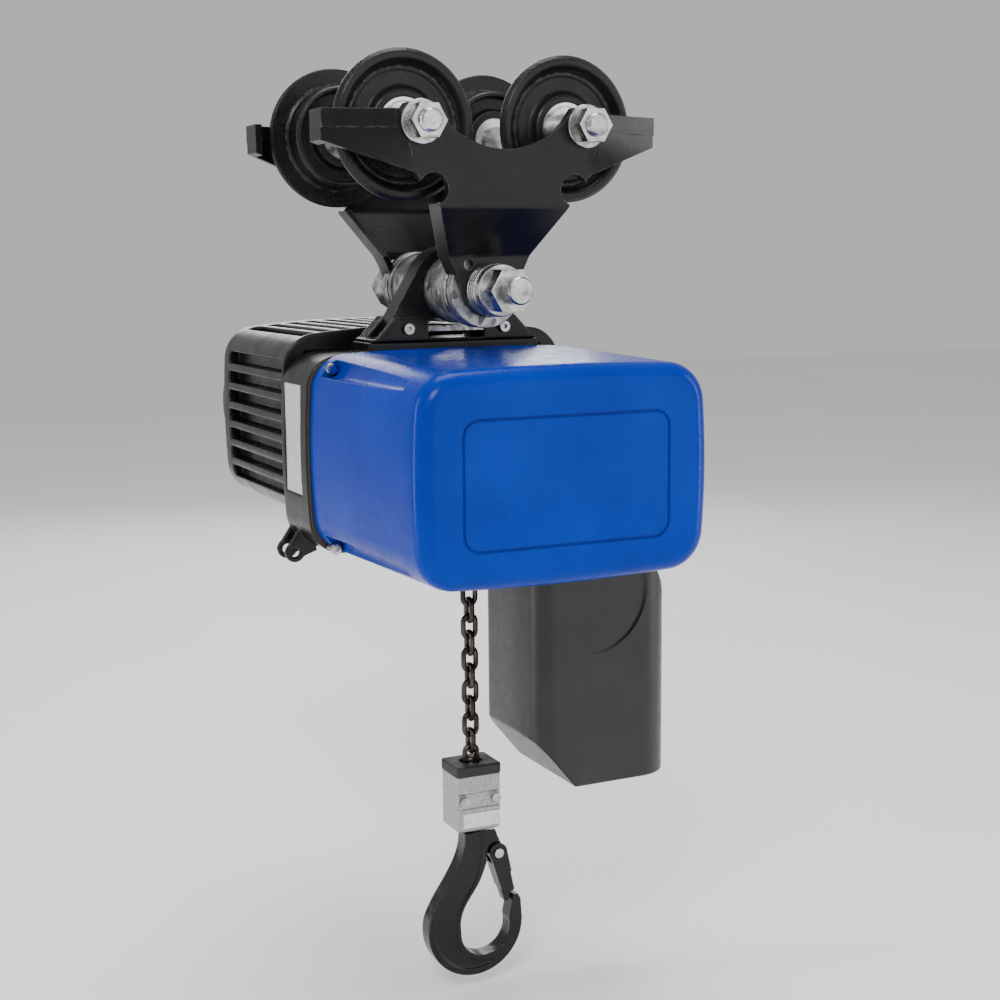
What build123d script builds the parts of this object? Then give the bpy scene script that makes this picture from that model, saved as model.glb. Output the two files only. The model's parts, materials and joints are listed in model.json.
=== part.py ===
from build123d import *

# Electric chain hoist hanging from a hand-pushed beam trolley.
# Millimetres. +X runs along the beam, +Y runs away from the gear cover, +Z is up.
# Origin: the rail seat, on the beam's lower flange, in the web plane, midway between the wheels.

import os
from math import acos, atan2, cos, pi, radians, sin, sqrt, tan

os.makedirs("parts", exist_ok=True)

FRONT, REAR = -1, 1
LEFT, RIGHT = -1, 1
RUNNING = 0.05            # radial clearance of a shaft that turns in its bore
BOLT_PLAY = 0.2           # radial clearance of a bolt in its hole
GAP = 0.1                 # gap between stacked washers, halves and the like

# Trolley wheels and axles. "Off the web" is the distance from the beam's web plane.
WHEEL_X = 58.4
TREAD_R = 35.0
AXLE_Z = TREAD_R
FLANGE_R = 48.25
TREAD_IN, TREAD_OUT, WHEEL_OUT = 44.0, 62.0, 67.9
WHEEL_BORE_R = 17.5
AXLE_R = 7.5
AXLE_THREAD_R = 7.0
AXLE_END = 111.7

# Side plates
PLATE_T = 6.0
PLATE_HIGH, PLATE_LOW = 93.0, 68.0       # outer faces off the web, above and below the bends
BEND_HIGH, BEND_LOW = -17.5, -48.0
DIP_Z, DIP_R = 19.5, 60.0
ARM_END_X, ARM_END_Y = 119.0, 77.0
ARM_T = 4.8
TAB_DEPTH = 20.0

# Suspension
PIN_Z = -70.5
PIN_R = 10.0
PIN_HEAD = 98.0
EYE_HALF_T = 9.0
SPACER_R = 25.5
BRACKET_BOLT = (36.3, -97.3)
BRACKET_TOP, BRACKET_FOOT = -89.0, -106.3

# Chain, sprocket and shafts (all shafts run along Y)
WIRE_R = 1.95
LINK_PITCH = 12.2
LINK_HALF_W = 4.8                         # to the wire's centre
LINK_PLAY = 0.1
POCKETS = 5
SPROCKET_R = POCKETS * 2 * LINK_PITCH / (2 * pi)
LOAD_X = 12.7
AXIS_Z = -158.0
SPROCKET_X = LOAD_X + SPROCKET_R
SLACK_X = SPROCKET_X + SPROCKET_R
MOTOR_X = -8.0
BUFFER_TOP, BLOCK_TOP, BLOCK_FOOT = -414.5, -422.0, -464.0
LAST_LINK_Z = -411.5                      # lowest upright link of the load chain
CAPTURE_PLAY = 0.25                       # extra play of the link held in the hook block

# Gears: 20 degree involute teeth, module 1, stub
MODULE = 1.0
ADDENDUM, DEDENDUM = 0.8, 1.05
TOOTH_THINNING = 0.12
MOTOR_TEETH, LAYSHAFT_GEAR_TEETH = 14, 58
LAYSHAFT_PINION_TEETH, SPROCKET_GEAR_TEETH = 16, 56
CENTRES = MODULE * (MOTOR_TEETH + LAYSHAFT_GEAR_TEETH) / 2
LAYSHAFT_X = (MOTOR_X + SPROCKET_X) / 2
LAYSHAFT_Z = AXIS_Z - sqrt(CENTRES**2 - ((SPROCKET_X - MOTOR_X) / 2)**2)

# Hoist body
FRAME_FRONT, FRAME_REAR = -10.7, 42.0
FRAME_HALF_W, FRAME_TOP, FRAME_FOOT = 111.5, -112.5, -250.5
COVER_REAR, COVER_FRONT = -12.7, -181.0
WEB_FRONT = (-16.0, -11.0)
WEB_REAR = (11.0, 17.0)
SCREWS = [(side * 97.0, z) for side in (LEFT, RIGHT) for z in (-122.0, -243.0)]
HOUSING_REAR = 193.0
HOUSING_HALF_W, HOUSING_TOP, HOUSING_FOOT = 110.0, -96.5, -236.0
HOUSING_FLOOR = 15.5
CAP_REAR = 243.0
GLAND_X, GLAND_Y = -75.0, 84.0
CAP_Z = -163.0
STATOR_R, STATOR_BORE_R, ROTOR_R = 42.0, 25.0, 24.4
MOTOR_SHAFT_R = 7.0

# Chain box
BOX_LEFT, BOX_RIGHT, BOX_FRONT, BOX_REAR = 36.0, 148.0, -64.0, 27.0
BOX_TOP, BOX_FOOT = -251.0, -424.5
BOX_SHOULDER_R = 60.0
BOX_WALL = 3.0
BOX_LUG_X, BOX_LUG_Z, BOX_LUG_HALF_W = 86.0, -262.0, 12.0
BOX_LUG_Y = (3.0, 13.0)
LUG_PLAY = 0.5


def front_plane(y):
    """Plane at depth y seen from the front: its local axes are X and Z."""
    return Plane.XZ.offset(-y)


def extrude_to(y0, y1, mode=Mode.ADD, face=None):
    """Extrude a sketch that stands on front_plane(y0) to the depth y1."""
    extrude(face, amount=y1 - y0, dir=(0, 1, 0), mode=mode)


def rod(radius, y0, y1, x=0.0, z=0.0, mode=Mode.ADD):
    """Cylinder along Y."""
    with BuildSketch(front_plane(y0)) as face:
        with Locations((x, z)):
            Circle(radius)
    extrude_to(y0, y1, mode, face.sketch)


def ring(outer_r, inner_r, y0, y1, x=0.0, z=0.0):
    """Plain ring along Y with small chamfers on its rim."""
    bevel = min(0.5, (outer_r - inner_r) / 4)
    turned([(y0, inner_r), (y0, outer_r - bevel), (y0 + bevel, outer_r),
            (y1 - bevel, outer_r), (y1, outer_r - bevel), (y1, inner_r)], x, z)


def slab(outline, y0, y1, mode=Mode.ADD):
    """Flat plate of a closed (x, z) outline between two depths."""
    with BuildSketch(front_plane(y0)) as face:
        Polygon(*outline, align=None)
    extrude_to(y0, y1, mode, face.sketch)


def block(low, high, mode=Mode.ADD):
    """Box between two corners."""
    centre = [(a + b) / 2 for a, b in zip(low, high)]
    with Locations(tuple(centre)):
        Box(*[b - a for a, b in zip(low, high)], mode=mode)


def hexagon(across_flats, y0, y1, x=0.0, z=0.0, bore_r=0.0):
    """Hexagonal nut or bolt head along Y."""
    with BuildSketch(front_plane(y0)) as face:
        with Locations((x, z)):
            RegularPolygon(across_flats / 2, 6, major_radius=False)
            if bore_r:
                Circle(bore_r, mode=Mode.SUBTRACT)
    extrude_to(y0, y1, face=face.sketch)


def turned(profile, x=0.0, z=0.0, mode=Mode.ADD):
    """Revolve a closed (y, radius) outline about the line through (x, z) along Y."""
    with BuildSketch(Plane(origin=(x, 0, z), x_dir=(0, 1, 0), z_dir=(1, 0, 0))) as face:
        Polygon(*profile, align=None)
    revolve(face.sketch, axis=Axis((x, 0, z), (0, 1, 0)), mode=mode)


def crowned_face(half_w, top, foot, side_crown, end_crown, corner_r):
    """Rounded rectangle with bowed sides, for the open sketch. The sizes are those at the crowns."""
    x, high, low = half_w - side_crown, top - end_crown, foot + end_crown
    mid = (top + foot) / 2
    with BuildLine() as outline:
        ThreePointArc((-x, high), (0, top), (x, high))
        ThreePointArc((x, high), (half_w, mid), (x, low))
        ThreePointArc((x, low), (0, foot), (-x, low))
        ThreePointArc((-x, low), (-half_w, mid), (-x, high))
    make_face(outline.edges())
    fillet(vertices(), corner_r)


def shaft_angle(x0, z0, x1, z1):
    return atan2(z1 - z0, x1 - x0)


def gear_outline(teeth, x, z, tooth_angle):
    """Involute outline about (x, z) with one tooth centred on tooth_angle."""
    pitch_r = MODULE * teeth / 2
    base_r = pitch_r * cos(radians(20))
    tip_r, root_r = pitch_r + ADDENDUM * MODULE, pitch_r - DEDENDUM * MODULE
    pitch_half = pi / (2 * teeth) - TOOTH_THINNING / 2 / pitch_r
    involute_at_pitch = tan(radians(20)) - radians(20)

    def half_angle(r):
        pressure = acos(min(1.0, base_r / r))
        return pitch_half + involute_at_pitch - (tan(pressure) - pressure)

    radii = [root_r, max(root_r, base_r), (base_r + tip_r) / 2, tip_r]
    outline = []
    for tooth in range(teeth):
        centre = tooth_angle + 2 * pi * tooth / teeth
        flank = [(r, half_angle(max(r, base_r))) for r in radii if r == root_r or r > root_r]
        angles = [(r, centre - half) for r, half in flank]
        angles += [(r, centre + half) for r, half in reversed(flank)]
        outline += [(x + r * cos(a), z + r * sin(a)) for r, a in angles]
    return outline


def chain_link(upright):
    """One link about the origin, long axis along Z; an upright link lies in the XZ plane."""
    straight = LINK_PITCH / 2 + WIRE_R + LINK_PLAY / 2 - LINK_HALF_W
    plane = Plane.XZ if upright else Plane.YZ
    with BuildPart() as link:
        with BuildLine(plane):
            Line((LINK_HALF_W, 0), (LINK_HALF_W, straight))
            ThreePointArc((LINK_HALF_W, straight), (0, straight + LINK_HALF_W), (-LINK_HALF_W, straight))
            Line((-LINK_HALF_W, straight), (-LINK_HALF_W, -straight))
            ThreePointArc((-LINK_HALF_W, -straight), (0, -straight - LINK_HALF_W), (LINK_HALF_W, -straight))
            Line((LINK_HALF_W, -straight), (LINK_HALF_W, 0))
        with BuildSketch(Plane.XY):
            with Locations((LINK_HALF_W, 0) if upright else (0, LINK_HALF_W)):
                Circle(WIRE_R)
        sweep()
    return link.part


UPRIGHT_LINK = chain_link(True)
FLAT_LINK = chain_link(False)


def chain_strand(x, top_z, count, top_upright):
    """Straight run of interlocked links, hanging down from top_z, in the open part."""
    for index in range(count):
        upright = (index % 2 == 0) == top_upright
        with Locations((x, 0, top_z - index * LINK_PITCH)):
            add(UPRIGHT_LINK if upright else FLAT_LINK)


# ---------------------------------------------------------------- trolley side plates

def wing_arm():
    """Bumper arm of the right front wing, bent towards the beam, with its folded end tab."""
    with BuildPart() as arm:
        with BuildSketch(Plane.XY):
            with BuildLine():
                Polyline((56, -PLATE_HIGH), (64, -PLATE_HIGH), (ARM_END_X, -ARM_END_Y),
                         (ARM_END_X, TAB_DEPTH - ARM_END_Y), (ARM_END_X - ARM_T, TAB_DEPTH - ARM_END_Y),
                         (ARM_END_X - ARM_T, ARM_T - 1.3 - ARM_END_Y), (64, ARM_T - PLATE_HIGH),
                         (56, ARM_T - PLATE_HIGH), close=True)
            make_face()
        extrude(amount=60)
        with BuildSketch(front_plane(-120)):
            with BuildLine():
                Polyline((56, 43), (ARM_END_X, 43), (ARM_END_X, 23.5), (62, 3.5), (56, 3.5), close=True)
            make_face()
        extrude_to(-120, 0, Mode.INTERSECT)
        with BuildSketch(Plane.XY.offset(31.5)):
            with BuildLine():
                Polyline((74, -91.3), (ARM_END_X, -78.3), (ARM_END_X, -76), (74, -89), close=True)
            make_face()
        extrude(amount=11.5)
    return arm.part


ARM = wing_arm()
bend_shift = PLATE_T * tan(atan2(PLATE_HIGH - PLATE_LOW, BEND_HIGH - BEND_LOW) / 2)

FLANGE_DEPTH, FLANGE_T = 18.0, 5.0
with BuildPart() as edge_flange:
    with BuildSketch(front_plane(-120)):
        with BuildLine():
            Polyline((47, -15), (46, BEND_HIGH), (29.5, BEND_LOW), (26, -55), (22.7, -62.5),
                     (22.7 - FLANGE_T, -58), (26 - FLANGE_T, -55), (29.5 - FLANGE_T, BEND_LOW),
                     (46 - FLANGE_T, BEND_HIGH), (47 - FLANGE_T, -15), close=True)
        make_face()
    extrude_to(-120, 0)
    with BuildSketch(Plane.YZ):
        with BuildLine():
            Polyline((2 - PLATE_HIGH, 0), (2 - PLATE_HIGH, BEND_HIGH), (2 - PLATE_LOW, BEND_LOW),
                     (2 - PLATE_LOW, -80), (FLANGE_DEPTH - PLATE_LOW, -80),
                     (FLANGE_DEPTH - PLATE_LOW, BEND_LOW), (FLANGE_DEPTH - PLATE_HIGH, BEND_HIGH),
                     (8 - PLATE_HIGH, 0), close=True)
        make_face()
    extrude(amount=60, mode=Mode.INTERSECT)
    rod(SPACER_R + 0.5, -120, 0, 0, PIN_Z, Mode.SUBTRACT)

with BuildPart() as side_plate_front:
    with BuildSketch(Plane.YZ.offset(-80)):
        with BuildLine():
            Polyline((-PLATE_HIGH, 60), (-PLATE_HIGH, BEND_HIGH), (-PLATE_LOW, BEND_LOW), (-PLATE_LOW, -100),
                     (PLATE_T - PLATE_LOW, -100), (PLATE_T - PLATE_LOW, BEND_LOW + bend_shift),
                     (PLATE_T - PLATE_HIGH, BEND_HIGH + bend_shift), (PLATE_T - PLATE_HIGH, 60), close=True)
        make_face()
        fillet(vertices().filter_by_position(Axis.Y, -55, -5), 5)
    extrude(amount=160)
    with BuildSketch(front_plane(-120)):
        with BuildLine():
            dip_end = DIP_Z + DIP_R - sqrt(DIP_R**2 - 42**2)
            dip_mid = DIP_Z + DIP_R - sqrt(DIP_R**2 - 21**2)
            ThreePointArc((0, DIP_Z), (21, dip_mid), (42, dip_end))
            Polyline((42, dip_end), (49, 46.5), (68, 46.5), (71, 43), (62, 3.5), (47, -15), (46, BEND_HIGH),
                     (29.5, BEND_LOW), (26, -55), (16.6, -77.5), (0, -77.5), (0, DIP_Z))
        make_face()
        with Locations((50, -6)):
            Circle(10, mode=Mode.SUBTRACT)
        with Locations((0, PIN_Z)):
            Circle(18)
        mirror(about=Plane.YZ)
    extrude_to(-120, 0, Mode.INTERSECT)
    add(ARM)
    add(edge_flange.part)
    add(mirror(edge_flange.part, about=Plane.YZ, mode=Mode.PRIVATE))
    add(mirror(ARM, about=Plane.YZ, mode=Mode.PRIVATE))
    for side in (LEFT, RIGHT):
        rod(AXLE_THREAD_R + BOLT_PLAY, -100, -80, side * WHEEL_X, AXLE_Z, Mode.SUBTRACT)
    rod(PIN_R + BOLT_PLAY, -80, -55, 0, PIN_Z, Mode.SUBTRACT)
    rod(3.5, -80, -55, -15.2, -53.7, Mode.SUBTRACT)
side_plate_front.part.label = "side_plate_front"
export_step(side_plate_front.part, "parts/side_plate_front.step")

with BuildPart() as side_plate_rear:
    mirror(side_plate_front.part, about=Plane.XZ)
side_plate_rear.part.label = "side_plate_rear"
export_step(side_plate_rear.part, "parts/side_plate_rear.step")

# ---------------------------------------------------------------- wheels, bearings, axles

WHEEL_PROFILE = [(44, 15.5), (44, 21), (51, 22.5), (51, 30.5), (44, 32), (44, 33.5), (45.5, TREAD_R),
                 (TREAD_OUT, TREAD_R), (TREAD_OUT, 47.2), (63, FLANGE_R), (65.3, FLANGE_R),
                 (WHEEL_OUT, 45.6), (WHEEL_OUT, 42), (66.4, 40.8), (64, 39.2), (61.4, 36.5), (61, 33),
                 (61.3, 25.5), (63.5, 23.6), (66, 22.6), (66.8, 21.2), (66.8, WHEEL_BORE_R),
                 (45, WHEEL_BORE_R), (45, 15.5)]
BEARING_PROFILE = [(45, AXLE_R + RUNNING), (45, WHEEL_BORE_R), (66.4, WHEEL_BORE_R), (66.4, 15),
                   (65.7, 14.6), (65.7, 10.6), (66.4, 10.2), (66.4, AXLE_R + RUNNING)]
AXLE_PROFILE = [(42.6, 0), (42.6, 9.5), (44.6, 9.5), (44.6, AXLE_R), (66.8, AXLE_R), (66.8, 10.5),
                (PLATE_HIGH - PLATE_T, 10.5), (PLATE_HIGH - PLATE_T, AXLE_THREAD_R),
                (AXLE_END - 1, AXLE_THREAD_R), (AXLE_END, 6), (AXLE_END, 0)]
CORNERS = [("front_left", LEFT, FRONT), ("front_right", RIGHT, FRONT),
           ("rear_left", LEFT, REAR), ("rear_right", RIGHT, REAR)]


def facing(profile, side):
    """Profile with its distances off the web turned into depths on the given side."""
    return [(side * distance, radius) for distance, radius in profile]


for place, side_x, side_y in CORNERS:
    with BuildPart() as wheel:
        turned(facing(WHEEL_PROFILE, side_y), side_x * WHEEL_X, AXLE_Z)
    wheel.part.label = "wheel_" + place
    export_step(wheel.part, "parts/" + wheel.part.label + ".step")

    with BuildPart() as wheel_bearing:
        turned(facing(BEARING_PROFILE, side_y), side_x * WHEEL_X, AXLE_Z)
    wheel_bearing.part.label = "wheel_bearing_" + place
    export_step(wheel_bearing.part, "parts/" + wheel_bearing.part.label + ".step")

with BuildPart() as wheel_axles:
    for place, side_x, side_y in CORNERS:
        turned(facing(AXLE_PROFILE, side_y), side_x * WHEEL_X, AXLE_Z)
wheel_axles.part.label = "wheel_axles"
export_step(wheel_axles.part, "parts/wheel_axles.step")

with BuildPart() as axle_washers:
    for place, side_x, side_y in CORNERS:
        depths = sorted((side_y * PLATE_HIGH, side_y * (PLATE_HIGH + 2.8)))
        ring(14, AXLE_THREAD_R + BOLT_PLAY, *depths, side_x * WHEEL_X, AXLE_Z)
axle_washers.part.label = "axle_washers"
export_step(axle_washers.part, "parts/axle_washers.step")

with BuildPart() as axle_nuts:
    for place, side_x, side_y in CORNERS:
        depths = sorted((side_y * (PLATE_HIGH + 2.9), side_y * (PLATE_HIGH + 14.5)))
        hexagon(21, *depths, side_x * WHEEL_X, AXLE_Z, AXLE_THREAD_R)
axle_nuts.part.label = "axle_nuts"
export_step(axle_nuts.part, "parts/axle_nuts.step")

# ---------------------------------------------------------------- suspension bolt and spacers

with BuildPart() as suspension_bolt:
    turned([(-115, 0), (-115, 8), (-113.8, 9), (-80.5, 9), (-80.5, PIN_R), (PIN_HEAD, PIN_R), (PIN_HEAD, 0)],
           0, PIN_Z)
    hexagon(27, PIN_HEAD, PIN_HEAD + 12, 0, PIN_Z)
suspension_bolt.part.label = "suspension_bolt"
export_step(suspension_bolt.part, "parts/suspension_bolt.step")

with BuildPart() as suspension_nut:
    hexagon(27, -103, -87.1, 0, PIN_Z, 9)
suspension_nut.part.label = "suspension_nut"
export_step(suspension_nut.part, "parts/suspension_nut.step")

SPARE_T = 3.0
with BuildPart() as suspension_washers:
    for index in range(4):
        start = -PLATE_LOW - (index + 1) * SPARE_T
        ring(17.6, PIN_R + BOLT_PLAY, start + GAP, start + SPARE_T, 0, PIN_Z)
    ring(17, 9 + BOLT_PLAY, -87, -80.5, 0, PIN_Z)
    for index in range(10):
        start = PLATE_LOW + index * SPARE_T
        ring(17.6, PIN_R + BOLT_PLAY, start, start + SPARE_T - GAP, 0, PIN_Z)
suspension_washers.part.label = "suspension_washers"
export_step(suspension_washers.part, "parts/suspension_washers.step")

INNER_FACE = PLATE_LOW - PLATE_T
with BuildPart() as suspension_spacers:
    for side in (FRONT, REAR):
        for near, far, radius in ((EYE_HALF_T + 0.6, 47, 23.5), (47 + GAP, 51, SPACER_R),
                                  (54, INNER_FACE, SPACER_R)):
            ring(radius, PIN_R + BOLT_PLAY, *sorted((side * near, side * far)), 0, PIN_Z)
        ring(15, PIN_R + BOLT_PLAY, *sorted((side * (51 + GAP), side * (54 - GAP))), 0, PIN_Z)
suspension_spacers.part.label = "suspension_spacers"
export_step(suspension_spacers.part, "parts/suspension_spacers.step")

# ---------------------------------------------------------------- suspension eye and bracket

with BuildPart() as suspension_eye:
    with BuildSketch(front_plane(-EYE_HALF_T)):
        with BuildLine():
            Polyline((0, -50), (25.7, -55), (46, -89), (46, -103.5), (27, -103.5), (27, -95), (14, -84), (0, -84),
                     close=True)
        make_face()
        mirror(about=Plane.YZ)
        with Locations((0, PIN_Z)):
            Circle(30)
            Circle(PIN_R + RUNNING, mode=Mode.SUBTRACT)
        with BuildLine():
            Polyline((-27, -104), (-27, -95), (-14, -90), (14, -90), (27, -95), (27, -104), close=True)
        make_face(mode=Mode.SUBTRACT)
    extrude_to(-EYE_HALF_T, EYE_HALF_T)
    for side in (LEFT, RIGHT):
        rod(2.7, -20, 20, side * BRACKET_BOLT[0], BRACKET_BOLT[1], Mode.SUBTRACT)
suspension_eye.part.label = "suspension_eye"
export_step(suspension_eye.part, "parts/suspension_eye.step")

BRACKET_RIBS = [(-12.5, -9.4), (9.4, 12.5), (15, 17.5), (20, 23)]
with BuildPart() as suspension_bracket:
    block((-62, -12.5, BRACKET_FOOT), (62, 23, -104))
    for y0, y1 in BRACKET_RIBS:
        for side in (LEFT, RIGHT):
            slab([(side * 21, BRACKET_TOP), (side * 45.6, BRACKET_TOP), (side * 62, BRACKET_FOOT),
                  (side * 21, BRACKET_FOOT)], y0, y1)
    for side in (LEFT, RIGHT):
        rod(2.7, -20, 30, side * BRACKET_BOLT[0], BRACKET_BOLT[1], Mode.SUBTRACT)
suspension_bracket.part.label = "suspension_bracket"
export_step(suspension_bracket.part, "parts/suspension_bracket.step")

with BuildPart() as bracket_bolts:
    for side in (LEFT, RIGHT):
        rod(2.5, -12.5, 26, side * BRACKET_BOLT[0], BRACKET_BOLT[1])
        rod(3.8, -15.5, -12.5, side * BRACKET_BOLT[0], BRACKET_BOLT[1])
        hexagon(2.8, -15.5, -14, side * BRACKET_BOLT[0], BRACKET_BOLT[1])
        with BuildSketch(front_plane(-15.5)):
            with Locations((side * BRACKET_BOLT[0], BRACKET_BOLT[1])):
                RegularPolygon(1.6, 6)
        extrude_to(-15.5, -13.5, Mode.SUBTRACT)
        hexagon(8, 23.1, 26.5, side * BRACKET_BOLT[0], BRACKET_BOLT[1])
bracket_bolts.part.label = "bracket_bolts"
export_step(bracket_bolts.part, "parts/bracket_bolts.step")

with BuildPart() as bracket_tie_bar:
    block((-21, -12.4, -99.4), (21, -3, -95.6))
bracket_tie_bar.part.label = "bracket_tie_bar"
export_step(bracket_tie_bar.part, "parts/bracket_tie_bar.step")

# ---------------------------------------------------------------- central frame and cover

with BuildPart() as hoist_frame:
    with BuildSketch(front_plane(FRAME_FRONT)):
        crowned_face(FRAME_HALF_W, FRAME_TOP, FRAME_FOOT, 3.5, 1.5, 24)
    extrude_to(FRAME_FRONT, FRAME_REAR)
    block((-64, FRAME_FRONT, -120), (64, 23, BRACKET_FOOT))
    with BuildSketch(front_plane(WEB_FRONT[0])):
        with Locations((8, -178)):
            RectangleRounded(120, 108, 12)
    extrude_to(WEB_FRONT[0], FRAME_FRONT + 1)
    block((-24, WEB_FRONT[1], -242), (70, WEB_REAR[0], -121), Mode.SUBTRACT)
    for y0, y1 in ((-4, WEB_REAR[0]), (WEB_REAR[1], FRAME_REAR)):
        with BuildSketch(front_plane(y0)):
            crowned_face(FRAME_HALF_W - 7, FRAME_TOP - 7, FRAME_FOOT + 7, 3.5, 1.5, 44)
        extrude_to(y0, y1, Mode.SUBTRACT)
    rod(18.5, -20, 20, SPROCKET_X, AXIS_Z, Mode.SUBTRACT)
    rod(14, -20, -8, LAYSHAFT_X, LAYSHAFT_Z, Mode.SUBTRACT)
    rod(9, -20, -8, MOTOR_X, AXIS_Z, Mode.SUBTRACT)
    rod(16, 8, 20, MOTOR_X, AXIS_Z, Mode.SUBTRACT)
    for x in (LOAD_X, SLACK_X):
        block((x - 8.5, -9, FRAME_FOOT - 2), (x + 8.5, 9, -238), Mode.SUBTRACT)
    for x, z in SCREWS:
        rod(2.5, FRAME_FRONT, 0, x, z, Mode.SUBTRACT)
    for y0, y1 in ((17, 21.5), (34.5, 39)):
        slab([(-106, -232), (-119, -251), (-113, -257.5), (-95, -251)], y0, y1)
        rod(7, y0, y1, -111.5, -251.5)
        rod(3.5, y0 - 1, y1 + 1, -111.5, -251.5, Mode.SUBTRACT)
    block((-115, 2, -209.5), (-109.6, 35, -133.5), Mode.SUBTRACT)
    block((BOX_LUG_X - BOX_LUG_HALF_W, BOX_LUG_Y[0], BOX_LUG_Z - 10),
          (BOX_LUG_X + BOX_LUG_HALF_W, BOX_LUG_Y[1], FRAME_FOOT + 4))
    rod(3.0, 2, 14, BOX_LUG_X, BOX_LUG_Z, Mode.SUBTRACT)
hoist_frame.part.label = "hoist_frame"
export_step(hoist_frame.part, "parts/hoist_frame.step")

with BuildPart() as cover_gasket:
    with BuildSketch(front_plane(COVER_REAR)):
        crowned_face(FRAME_HALF_W - 1, FRAME_TOP - 0.6, FRAME_FOOT + 0.6, 3.5, 1.5, 24)
    extrude_to(COVER_REAR, FRAME_FRONT)
    with BuildSketch(front_plane(COVER_REAR)):
        crowned_face(FRAME_HALF_W - 7, FRAME_TOP - 8, FRAME_FOOT + 8, 3.5, 1.5, 44)
    extrude_to(COVER_REAR, FRAME_FRONT, Mode.SUBTRACT)
    for x, z in SCREWS:
        rod(2.7, COVER_REAR, FRAME_FRONT, x, z, Mode.SUBTRACT)
cover_gasket.part.label = "cover_gasket"
export_step(cover_gasket.part, "parts/cover_gasket.step")

COVER_WALL = 3.0
PANEL_W, PANEL_H = 143.0, 81.0
FLUTE_R = 8.0
with BuildPart() as gear_cover:
    with BuildSketch(front_plane(COVER_REAR)):
        crowned_face(109, -110.6, -249.8, 4.5, 3, 26)
    with BuildSketch(front_plane(COVER_FRONT)):
        crowned_face(101, -113.5, -249.8, 4, 3, 26)
    loft()
    fillet(faces().sort_by(Axis.Y)[0].edges(), 12)
    with BuildSketch(front_plane(COVER_REAR)):
        crowned_face(109 - COVER_WALL, -113.8, -246.6, 4.5, 3, 48)
    with BuildSketch(front_plane(COVER_FRONT + 5)):
        crowned_face(95.5, -119.5, -244, 4, 3, 40)
    loft(mode=Mode.SUBTRACT)
    for x, z in SCREWS:
        side = 1 if x > 0 else -1
        high = 1 if z > AXIS_Z else -1
        rod(FLUTE_R, -150, -24, side * 100, -180.2 + high * 60.5, Mode.SUBTRACT)
        rod(2.7, -30, COVER_REAR, x, z, Mode.SUBTRACT)
    with BuildSketch(front_plane(COVER_FRONT)):
        with Locations((-1, -184)):
            RectangleRounded(PANEL_W, PANEL_H, 11)
            RectangleRounded(PANEL_W - 3.2, PANEL_H - 3.2, 9.4, mode=Mode.SUBTRACT)
    extrude_to(COVER_FRONT, COVER_FRONT + 1.2, Mode.SUBTRACT)
gear_cover.part.label = "gear_cover"
export_step(gear_cover.part, "parts/gear_cover.step")

with BuildPart() as cover_screws:
    for x, z in SCREWS:
        turned([(-27.5, 0), (-27.5, 3.2), (-26.7, 4), (-24, 4), (-24, 2.5), (-2, 2.5), (-2, 0)], x, z)
        with BuildSketch(front_plane(-27.5)) as recess:
            with Locations((x, z)):
                RegularPolygon(1.8, 6)
        extrude_to(-27.5, -26, Mode.SUBTRACT, recess.sketch)
cover_screws.part.label = "cover_screws"
export_step(cover_screws.part, "parts/cover_screws.step")

with BuildPart() as nameplate:
    block((-110.4, 2.6, -209), (-109.6, 34.4, -134))
nameplate.part.label = "nameplate"
export_step(nameplate.part, "parts/nameplate.step")

# ---------------------------------------------------------------- gear case and gear train

CASE_FRONT, CASE_WALL_REAR = -76.0, -70.0
BEARING_SEAT = (-75.0, -69.0)
with BuildPart() as gear_case:
    block((-28, CASE_FRONT, -226), (70, WEB_FRONT[0], -121))
    fillet(edges().filter_by(Axis.Y), 12)
    block((-23, -69, -221.5), (65.5, WEB_FRONT[0], -125.5), Mode.SUBTRACT)
    rod(12, BEARING_SEAT[0], BEARING_SEAT[1], MOTOR_X, AXIS_Z, Mode.SUBTRACT)
    rod(13, BEARING_SEAT[0], BEARING_SEAT[1], LAYSHAFT_X, LAYSHAFT_Z, Mode.SUBTRACT)
gear_case.part.label = "gear_case"
export_step(gear_case.part, "parts/gear_case.step")


def spur_gear(teeth, y0, y1, x, z, tooth_angle):
    slab(gear_outline(teeth, x, z, tooth_angle), y0, y1)


to_layshaft = shaft_angle(MOTOR_X, AXIS_Z, LAYSHAFT_X, LAYSHAFT_Z)
to_sprocket = shaft_angle(LAYSHAFT_X, LAYSHAFT_Z, SPROCKET_X, AXIS_Z)

with BuildPart() as motor_shaft:
    turned([(-74, 0), (-74, 5.6), (-48, 5.6), (-48, 6.6), (9, 6.6), (9, MOTOR_SHAFT_R), (210, MOTOR_SHAFT_R),
            (212, 5), (212, 0)], MOTOR_X, AXIS_Z)
    spur_gear(MOTOR_TEETH, -63, -49, MOTOR_X, AXIS_Z, to_layshaft)
motor_shaft.part.label = "motor_shaft"
export_step(motor_shaft.part, "parts/motor_shaft.step")

with BuildPart() as layshaft_gear:
    spur_gear(LAYSHAFT_GEAR_TEETH, -62, -50, LAYSHAFT_X, LAYSHAFT_Z, to_layshaft + pi + pi / LAYSHAFT_GEAR_TEETH)
    for hole in range(6):
        angle = hole * pi / 3
        rod(4, -63, -49, LAYSHAFT_X + 18 * cos(angle), LAYSHAFT_Z + 18 * sin(angle), Mode.SUBTRACT)
    rod(8, -63, -49, LAYSHAFT_X, LAYSHAFT_Z, Mode.SUBTRACT)
layshaft_gear.part.label = "layshaft_gear"
export_step(layshaft_gear.part, "parts/layshaft_gear.step")

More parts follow.
